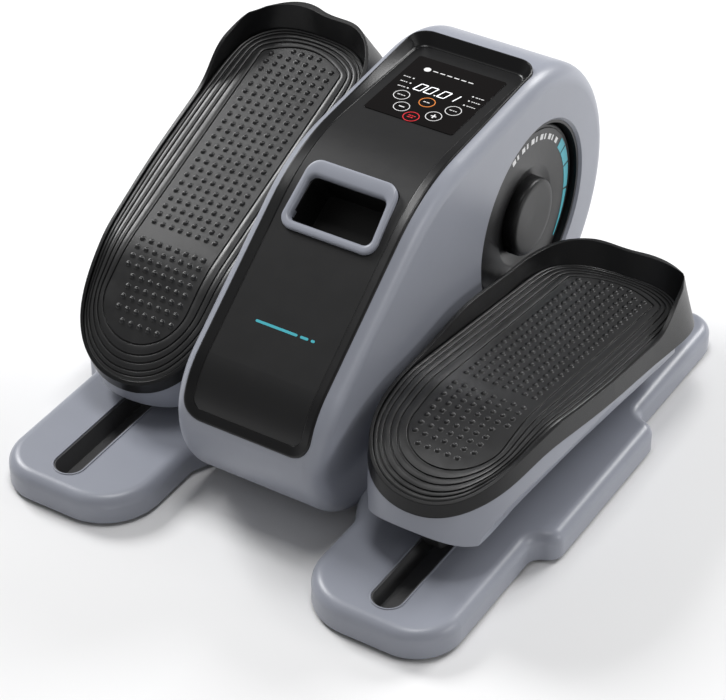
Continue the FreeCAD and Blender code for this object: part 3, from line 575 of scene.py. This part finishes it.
class Profile:
    """Nose arc, slope, brow arc and top in the YZ plane, as rows of (y, z, ny, nz).

    slope_d and top_d are the distances of the two straight lines from the origin.
    """

    def __init__(self, nose_r, slope_d, brow_r, top_slope, top_d):
        n1, n2 = normal(SLOPE), normal(top_slope)
        d1, d2 = slope_d - brow_r, top_d - brow_r
        det = n1[0] * n2[1] - n1[1] * n2[0]
        centre = ((d1 * n2[1] - d2 * n1[1]) / det, (n1[0] * d2 - n2[0] * d1) / det)
        self.rows = []
        for angle in (*range(180, 126, -3), 90 + SLOPE):
            self.add(NOSE, nose_r, angle)
        span = 90 + SLOPE, 90 + top_slope
        for k in range(17):
            self.add(centre, brow_r, span[0] + (span[1] - span[0]) * k / 16)
        y, z, _, _ = self.rows[-1]
        ahead = heading(top_slope)
        for length in (100, 200):
            self.rows.append((y + length * ahead[0], z + length * ahead[1], *n2))

    def add(self, centre, radius, angle):
        n = heading(angle)
        self.rows.append((centre[0] + radius * n[0], centre[1] + radius * n[1], *n))

    def seek(self, value, key):
        """The row, interpolated, where key(row) reaches value."""
        previous = self.rows[0]
        for row in self.rows[1:]:
            if key(row) >= value:
                a, b = key(previous), key(row)
                t = 0.0 if b == a else max(0.0, (value - a) / (b - a))
                return tuple(p + (q - p) * t for p, q in zip(previous, row))
            previous = row
        return previous

    def at(self, kind, value):
        """The row at a y, at a z, or at a length c along the sweep."""
        return self.seek(value, READ[kind])


READ = {"y": lambda row: row[0], "z": lambda row: row[1], "c": lambda row: dot(heading(SWEEP), row)}
SLOPE_D = dot(normal(SLOPE), NOSE) + NOSE_R
TOP_D = dot(normal(TOP_SLOPE), CRANK) + BACK_R
HOOD_LINE = Profile(NOSE_R, SLOPE_D, BROW_R, TOP_SLOPE, TOP_D)
PANEL_LINE = Profile(NOSE_R - PANEL_DROP, SLOPE_D - PANEL_DROP, PANEL_BROW_R, PANEL_SLOPE,
                     dot(normal(PANEL_SLOPE), PANEL_POINT))


def hood_drop(x):
    """How far the hood's shoulder fillet falls below the profile at x."""
    over = abs(x) - (HOOD_HALF - HOOD_FILLET)
    return 0.0 if over <= 0 else HOOD_FILLET - math.sqrt(max(0.0, HOOD_FILLET ** 2 - over ** 2))


def bezel_path(inset):
    """The ring's outline as (kind, x, value), where kind says what Profile.at reads."""
    half, radius = BEZEL_HALF - inset, BEZEL_CORNER - inset
    low, far = BEZEL_LOW + inset, BEZEL_FAR - inset
    corner_x = half - radius
    path = [("z", corner_x * k / 6, low) for k in range(6)]
    path += [("z", corner_x + radius * math.sin(rad(t)), low + radius * (1 - math.cos(rad(t))))
             for t in range(0, 90, 9)]
    start = READ["c"](HOOD_LINE.at("z", BEZEL_LOW + BEZEL_CORNER))
    end = READ["c"](HOOD_LINE.at("y", BEZEL_FAR - BEZEL_CORNER))
    path += [("c", half, start + (end - start) * k / 70) for k in range(71)]
    path += [("y", corner_x + radius * math.cos(rad(t)), far - radius * (1 - math.sin(rad(t))))
             for t in range(9, 91, 9)]
    path += [("y", corner_x * (1 - k / 6), far) for k in range(1, 7)]
    mirror = [(kind, -x, value) for kind, x, value in path[-2:0:-1]]
    return path + mirror


def bezel_row(inset, lift, line):
    """One loop of the fascia ring, lifted off a profile line and, outside, off the shoulder."""
    row = []
    for kind, x, value in bezel_path(inset):
        y, z, ny, nz = line.at(kind, value)
        rise = lift - (hood_drop(x) if line is HOOD_LINE else 0.0)
        row.append((x, y + ny * rise, z + nz * rise))
    return row


def between(a, b, t):
    """The loop part of the way from loop a to loop b."""
    return [tuple(p + (q - p) * t for p, q in zip(u, v)) for u, v in zip(a, b)]


def loops_piece(name, rows, material, crease):
    """A machine piece skinned over closed loops of equal length."""
    verts = [point for row in rows for point in row]
    made = piece(name, verts, strip_faces(len(rows[0]), len(rows)), "machine", material)
    sharpen(made, crease)
    return made


def make_fascia_ring():
    """Raised black ring around the panel: over the hood outside, down to the panel inside."""
    outside = [bezel_row(inset, lift, HOOD_LINE)
               for inset, lift in ((0.2, -2.0), (0.2, 0.1), (0.7, 0.6), (1.6, 0.7))]
    inside = [bezel_row(RING_W - outset, lift, PANEL_LINE)
              for outset, lift in ((0.9, 0.55), (0.4, 0.5), (0.0, 0.0), (0.0, -1.5))]
    face = [between(outside[-1], inside[0], t) for t in (0.12, 0.3, 0.5, 0.7, 0.88)]
    ring = loops_piece("fascia_ring_moulding", outside + face + inside, "frame", 60)
    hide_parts("fascia_frame")


def slope_point(x, v, w):
    """Point on the front slope: v up the slope, w out of its plane."""
    n, t = normal(SLOPE), heading(SLOPE)
    d = SLOPE_D + w
    return (x, n[0] * d + t[0] * v, n[1] * d + t[1] * v)


GRIP_V, GRIP_LEN, GRIP_TOP_HALF, GRIP_LOW_HALF = 93.0, 62.0, 41.0, 45.0
GRIP_SIDE, GRIP_LOW, GRIP_HIGH = 6.6, 7.5, 14.0    # widths of the plate around its hole
GRIP_CORNER, HOLE_CORNER = 12, 6
GRIP_TAPER = 1 - GRIP_TOP_HALF / GRIP_LOW_HALF


def rounded_box(x0, x1, y0, y1, radius, steps=8):
    """Corner-rounded rectangle, counter-clockwise, with steps + 1 points to each corner."""
    points = arc_points(x1 - radius, y0 + radius, radius, -90, 0, steps)
    points += arc_points(x1 - radius, y1 - radius, radius, 0, 90, steps)
    points += arc_points(x0 + radius, y1 - radius, radius, 90, 180, steps)
    return points + arc_points(x0 + radius, y0 + radius, radius, 180, 270, steps)


def make_handle_ring():
    """Grey plate around the hand hole on the front slope, narrower towards its top."""
    low, high = GRIP_V - GRIP_LEN / 2, GRIP_V + GRIP_LEN / 2

    def tapered(x0, x1, y0, y1, radius, w):
        row = []
        for x, v in rounded_box(x0, x1, y0, y1, radius):
            row.append(slope_point(x * (1 - (v - low) / GRIP_LEN * GRIP_TAPER), v, w))
        return row

    def outer_row(inset, w):
        half = GRIP_LOW_HALF - inset
        return tapered(-half, half, low + inset, high - inset, GRIP_CORNER - inset, w)

    def hole_row(grow, w):
        half = GRIP_LOW_HALF - GRIP_SIDE + grow
        bottom, top = low + GRIP_LOW - grow, high - GRIP_HIGH + grow
        return tapered(-half, half, bottom, top, HOLE_CORNER + grow, w)

    rows = [outer_row(inset, w)
            for inset, w in ((0, -3.5), (0, 0.2), (0.3, 1.1), (1.0, 1.7), (2.0, 1.95))]
    rows += [hole_row(grow, w) for grow, w in ((2.8, 1.95), (1.6, 1.5), (0.6, 0.4), (0.1, -1.5),
                                               (0, -4.0), (0, -9.0), (0.6, -9.4))]
    ring = loops_piece("carry_handle_ring", rows, "body", 60)
    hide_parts("handle_ring")


ACCENT_V, ACCENT_HALF, ACCENT_CORNER = -16.2, 1.1, 1.05
ACCENT_SPANS = ((-25, 14), (16.5, 24), (26.5, 30))


def make_accent():
    """Plain turquoise line printed on the front panel, with a faint painted glow."""
    verts, faces = [], []
    low, high = ACCENT_V - ACCENT_HALF, ACCENT_V + ACCENT_HALF
    for x0, x1 in ACCENT_SPANS:
        outline = rounded_box(x0, x1, low, high, ACCENT_CORNER, 4)
        base, count = len(verts), len(outline)
        for w in (-PANEL_DROP - 0.1, -PANEL_DROP + 0.15):
            verts += [slope_point(x, v, w) for x, v in outline]
        faces.append(tuple(range(base + count, base + 2 * count)))
        faces += strip_faces(count, 2, base)
    piece("front_accent", verts, faces, "machine", "turquoise", smooth=False)


# ---------------------------------------------------------------- display marks
MARK_LIFT, MARK_THICK = 0.62, 0.15
LEAN = 0.27                            # sideways slant of the digits, per height
SEGMENTS = {"0": "abcdef", "1": "bc"}
SEGMENT_WIDE = 0.9
DIGIT_W, DIGIT_H, DIGIT_Y = 7.4, 11.2, 88.4
DIGITS = ((-15.9, "0"), (-6.2, "0"), (6.6, "0"), (15.2, "1"))
DECIMAL_POINT = (0.0, 83.4)
DOT_R, STROKE_WIDE = 0.85, 0.9
KEY_R, KEY_WIDE, LIT_KEY_WIDE = 7.0, 0.6, 0.65
HEADER_DOT = (-25.2, 114.9)
LEFT_CAPTIONS = ((-37.6, 97.2), (-36.2, 89.6), (-34.4, 82.2))
RIGHT_CAPTIONS = ((27.6, 98.0), (27.8, 90.8), (27.4, 83.4))
MODE_KEY, STOP_KEY = (0.1, 71.5), (-0.4, 46.8)
WORD_KEYS = ((-23.8, 70.8), (24.9, 71.5))
MINUS_KEY, PLUS_KEY = (-14.8, 55.8), (15.2, 56.4)


def window_point(x, y, lift):
    """Point over the display window, which slopes up towards the back."""
    y0, z0 = PANEL_POINT
    return (x, y, z0 + (y - y0) * math.tan(rad(PANEL_SLOPE)) + lift)


class Marks:
    """Collects flat printed marks over the display window into one piece."""

    def __init__(self):
        self.verts = []
        self.faces = []

    def polygon(self, points):
        """A thin flat plate with this outline."""
        start, count = len(self.verts), len(points)
        for lift in (MARK_LIFT - MARK_THICK, MARK_LIFT):
            self.verts += [window_point(x, y, lift) for x, y in points]
        self.faces.append(tuple(range(start + count, start + 2 * count)))
        self.faces += strip_faces(count, 2, start)

    def bar(self, x, y, width, height, lean=0.0):
        across, up, shift = width / 2, height / 2, lean * height / 2
        self.polygon([(x - across - shift, y - up), (x + across - shift, y - up),
                      (x + across + shift, y + up), (x - across + shift, y + up)])

    def disc(self, x, y, radius, steps):
        self.polygon(arc_points(x, y, radius, 0, 360 - 360 / steps, steps - 1))

    def ring(self, x, y, width, steps=40):
        outer = arc_points(x, y, KEY_R, 0, 360, steps)
        inner = arc_points(x, y, KEY_R - width, 0, 360, steps)
        for k in range(steps):
            self.polygon([outer[k], outer[k + 1], inner[k + 1], inner[k]])

    def digit(self, value, x):
        """Seven-segment numeral with a slight lean, its middle at x."""
        thick, quarter = SEGMENT_WIDE, DIGIT_H / 4
        level = {"a": quarter * 2 - thick / 2, "d": thick / 2 - quarter * 2}
        for name in SEGMENTS[value]:
            if name in level:
                up, across = level[name], 0.0
                size = (DIGIT_W - thick * 1.6, thick)
            else:
                up = quarter - thick / 4 if name in "bf" else thick / 4 - quarter
                across = (DIGIT_W - thick) / 2 * (1 if name in "bc" else -1)
                size = (thick, DIGIT_H / 2 - thick * 0.75)
            self.bar(x + across + up * LEAN, DIGIT_Y + up, *size, LEAN)

    def label(self, x0, x1, y):
        """A row of tiny strokes where a word would be."""
        x = x0
        while x < x1 - 0.8:
            width = min(random.choice((1.3, 1.9, 2.5)), x1 - x)
            self.bar(x + width / 2, y, width, STROKE_WIDE, LEAN)
            x += width + 0.7

    def finish(self, name, material):
        piece(name, self.verts, self.faces, "machine", material, smooth=False)


def make_digits():
    lit = Marks()
    for x, value in DIGITS:
        lit.digit(value, x)
    lit.bar(*DECIMAL_POINT, 1.2, 1.2, 0.2)
    lit.finish("display_digits", "lit")


def make_white_marks():
    """Header dot and dashes, stroke captions, and the white keys with their signs."""
    white = Marks()
    white.disc(*HEADER_DOT, 3.1, 20)
    for k in range(6):
        white.bar(-17.4 + 6.7 * k, 115.2, 4.6, 1.1, 0.3)
    for x0, y in LEFT_CAPTIONS:
        white.label(x0, x0 + 7.2, y)
        white.disc(x0 + 9.6, y, DOT_R, 12)
    for x0, y in RIGHT_CAPTIONS:
        white.disc(x0 + 0.6, y, DOT_R, 12)
        white.label(x0 + 3.0, x0 + 11.0, y)
    for x, y in (WORD_KEYS[0], MINUS_KEY, WORD_KEYS[1], PLUS_KEY):
        white.ring(x, y, KEY_WIDE)
    for (x0, x1), key in zip(((-27.6, -20.2), (21.4, 28.6), (-3.4, 3.6)), (*WORD_KEYS, MODE_KEY)):
        white.label(x0, x1, key[1])
    for x, y in (MINUS_KEY, PLUS_KEY):
        white.bar(x, y, 5.0, 1.2)
    for up in (1.7, -1.7):
        white.bar(PLUS_KEY[0], PLUS_KEY[1] + up, 1.2, 2.2)
    white.finish("display_marks", "white")


def make_display():
    make_digits()
    make_white_marks()
    orange = Marks()
    orange.ring(*MODE_KEY, LIT_KEY_WIDE)
    orange.finish("display_mode_ring", "orange")
    red = Marks()
    red.ring(*STOP_KEY, LIT_KEY_WIDE)
    red.label(-3.6, 3.0, STOP_KEY[1] + 1.4)
    red.label(-3.4, 2.8, STOP_KEY[1] - 1.2)
    red.finish("display_stop_ring", "red")


# ---------------------------------------------------------------- crank discs
DISC_IN, DISC_OUT, DISC_R = 57.0, 62.5, 81.0
CAP_R, CAP_OUT = 35.0, 71.0
LATHE_STEPS, LATHE_CREASE = 128, 50
# Sections as (x, radius), from the hood outwards. The disc has a fine groove near its edge.
DISC_ROWS = (
    (DISC_IN, 8.6), (DISC_IN, DISC_R - 1), (DISC_IN + 1, DISC_R), (DISC_OUT - 1.6, DISC_R),
    (DISC_OUT - 0.4, DISC_R - 0.7), (DISC_OUT, DISC_R - 1.8), (DISC_OUT, 79.0),
    (DISC_OUT - 0.8, 78.4), (DISC_OUT - 0.8, 77.8), (DISC_OUT, 77.2), (DISC_OUT, 46.0),
    (DISC_OUT - 0.5, 44.0), (DISC_OUT - 2.4, 40.0), (DISC_OUT - 3.0, CAP_R + 0.5),
    (DISC_OUT - 3.2, CAP_R - 2))
CAP_ROWS = (
    (DISC_OUT - 3.2, CAP_R - 0.4), (DISC_OUT - 2, CAP_R), (CAP_OUT - 3.2, CAP_R),
    (CAP_OUT - 1.6, CAP_R - 0.5), (CAP_OUT - 0.5, CAP_R - 1.7), (CAP_OUT, CAP_R - 3.4),
    (CAP_OUT - 0.1, 28.0), (CAP_OUT - 0.6, 16.0), (CAP_OUT - 0.8, 0.05))
# Printed arcs: start and end in degrees, inner radius at the start and at the end, outer radius.
TURQUOISE_ARCS = ((36, 27, 66.3, 66.6, 76), (25.4, 11, 66.8, 68.0, 76),
                  (9.4, -9.2, 68.2, 69.8, 76), (-10.8, -44, 70.2, 74.6, 76))
TICK_START, TICK_STEP, TICK_LENGTHS = 112, 6.6, (4.4, 2.2)
TICK_INNER, TICK_OUTER = 67.5, 72.5
PRINT_THICK = 0.25


def on_disc(side, x, radius, turn):
    dy, dz = around(radius, turn)
    return (side * x, CRANK[0] + dy, CRANK[1] + dz)


def lathe(name, rows, side, material):
    """Crank piece turned about the crank axis from (x, radius) rows."""
    turns = [2 * math.pi * k / LATHE_STEPS for k in range(LATHE_STEPS)]
    verts = [on_disc(side, x, radius, turn) for x, radius in rows for turn in turns]
    faces = strip_faces(LATHE_STEPS, len(rows))
    made = piece(name, verts, flipped(faces) if side > 0 else faces, "crank", material)
    sharpen(made, LATHE_CREASE)
    return made


def arc_mark(name, side, parts, material):
    """Thin printed arcs on a disc's face, each a bent bar with four corners per section."""
    verts, faces = [], []
    low, high = DISC_OUT, DISC_OUT + PRINT_THICK
    for start, end, inner0, inner1, outer in parts:
        steps = max(2, int(abs(end - start) / 1.5))
        base = len(verts)
        for k in range(steps + 1):
            t = k / steps
            turn = rad(start + (end - start) * t)
            inner = inner0 + (inner1 - inner0) * t
            corners = ((low, inner), (low, outer), (high, outer), (high, inner))
            verts += [on_disc(side, x, radius, turn) for x, radius in corners]
        faces += strip_faces(len(corners), steps + 1, base)
        last = base + 4 * steps
        faces.append((base, base + 1, base + 2, base + 3))
        faces.append((last + 3, last + 2, last + 1, last))
    clockwise = parts[0][1] < parts[0][0]
    if (side > 0) != clockwise:
        faces = flipped(faces)
    piece(name, verts, faces, "crank", material, smooth=False)


def half_turned(parts):
    return [(180 + start, 180 + end, *radii) for start, end, *radii in parts]


def make_discs():
    """Crank discs with their caps and prints; the left crank stands half a turn on."""
    ticks = []
    for k in range(11):
        start = TICK_START - TICK_STEP * k
        ticks.append((start, start - TICK_LENGTHS[k % 2], TICK_INNER, TICK_INNER, TICK_OUTER))
    for name, side in SIDES:
        disc = lathe(name + "dial", DISC_ROWS, side, "dial")
        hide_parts(name + "crank_disc")
        cap = lathe(name + "cap_moulding", CAP_ROWS, side, "cap")
        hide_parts(name + "hub_cap")
        # the printed arcs and ticks carry a faint painted glow from their materials
        for mark, parts, material in (("dial_accent", TURQUOISE_ARCS, "turquoise"),
                                      ("dial_ticks", ticks, "white")):
            arc_mark(name + mark, side, parts if side > 0 else half_turned(parts), material)


# ---------------------------------------------------------------- stage, light and camera
FLOOR_HALF = 9.0                       # metres, as everywhere in this section
AMBIENT = 0.22
# name, place, aim, size across and along in metres, power in watts
LIGHTS = (("key", (-2.2, 0.5, 2.0), (0, 0, 0.1), (1.0, 1.0), 60),
          ("back", (0.9, 2.2, 1.5), (0, 0.05, 0.12), (1.0, 0.7), 42),
          ("side", (2.3, 0.4, 0.9), (0.1, 0.0, 0.12), (0.7, 0.6), 9),
          ("top", (0.0, -0.1, 2.4), (0, 0, 0.1), (0.7, 0.7), 20))
CAMERA_PLACE = (0.91955, -1.51082, 1.39517)
AZIMUTH, ELEVATION = 31.8, 37.2
LENS_MM, SENSOR_MM = 130.0, 36.0


def make_floor():
    data = bpy.data.meshes.new("floor")
    corners = [(x * FLOOR_HALF, y * FLOOR_HALF, 0) for x, y in ((-1, -1), (1, -1), (1, 1), (-1, 1))]
    data.from_pydata(corners, [], [(0, 1, 2, 3)])
    floor = add_object("floor", data)
    shader = Shader("floor_pale", (0.85, 0.85, 0.855), 0.6)
    data.materials.append(shader.mottle(1.5, 0.01).grain(60, 0.02, 0.0005).mat)


def make_lights():
    """A white room with four soft lights."""
    world = bpy.data.worlds.new("studio")
    world.use_nodes = True
    background = world.node_tree.nodes["Background"]
    background.inputs["Color"].default_value = (1, 1, 1, 1)
    background.inputs["Strength"].default_value = AMBIENT
    bpy.context.scene.world = world
    bpy.context.scene.view_settings.view_transform = "Standard"
    for name, place, aim, (size_x, size_y), power in LIGHTS:
        data = bpy.data.lights.new(name, "AREA")
        data.shape = "RECTANGLE"
        data.size = size_x
        data.size_y = size_y
        data.energy = power
        lamp = add_object(name, data)
        lamp.location = place
        lamp.rotation_euler = (Vector(aim) - Vector(place)).to_track_quat("-Z", "Y").to_euler()


def make_camera():
    """Camera at the view's azimuth and elevation, with a long lens."""
    data = bpy.data.cameras.new("view")
    data.sensor_width = SENSOR_MM
    data.lens = LENS_MM
    camera = add_object("view", data)
    camera.location = CAMERA_PLACE
    flat, up = heading(ELEVATION)
    back = Vector((math.sin(rad(AZIMUTH)) * flat, -math.cos(rad(AZIMUTH)) * flat, up))
    camera.rotation_mode = "QUATERNION"
    camera.rotation_quaternion = (-back).to_track_quat("-Z", "Y")
    bpy.context.scene.camera = camera


dress_nodes()
make_pads()
make_fascia_ring()
make_handle_ring()
make_display()
make_discs()
make_accent()
make_floor()
make_lights()
make_camera()
